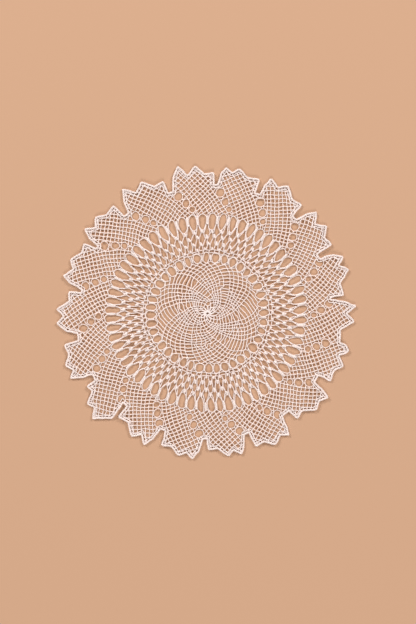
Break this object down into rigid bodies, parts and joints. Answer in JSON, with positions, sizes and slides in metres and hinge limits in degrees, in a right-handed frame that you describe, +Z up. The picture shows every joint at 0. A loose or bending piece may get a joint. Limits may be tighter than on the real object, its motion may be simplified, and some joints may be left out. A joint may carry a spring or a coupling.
{
  "type": "lace doily",
  "caption": "Round openwork doily of white knotted thread lace, with a spiral centre, rings of ovals and diamonds, and toothed petals round its edge. It lies flat.",
  "frame": {"origin": "middle of the outline's box, on the surface that the doily lies on", "axes": "+Z up, out of the face with the raised knots; +Y towards the top of the doily as it is seen from above, +X to the right"},
  "size_m": [0.226, 0.2214, 0.0018],
  "materials": {
    "thread": "matt white cotton thread"
  },
  "bodies": {
    "root": {"lace_doily": "thread"}
  },
  "joints": []
}
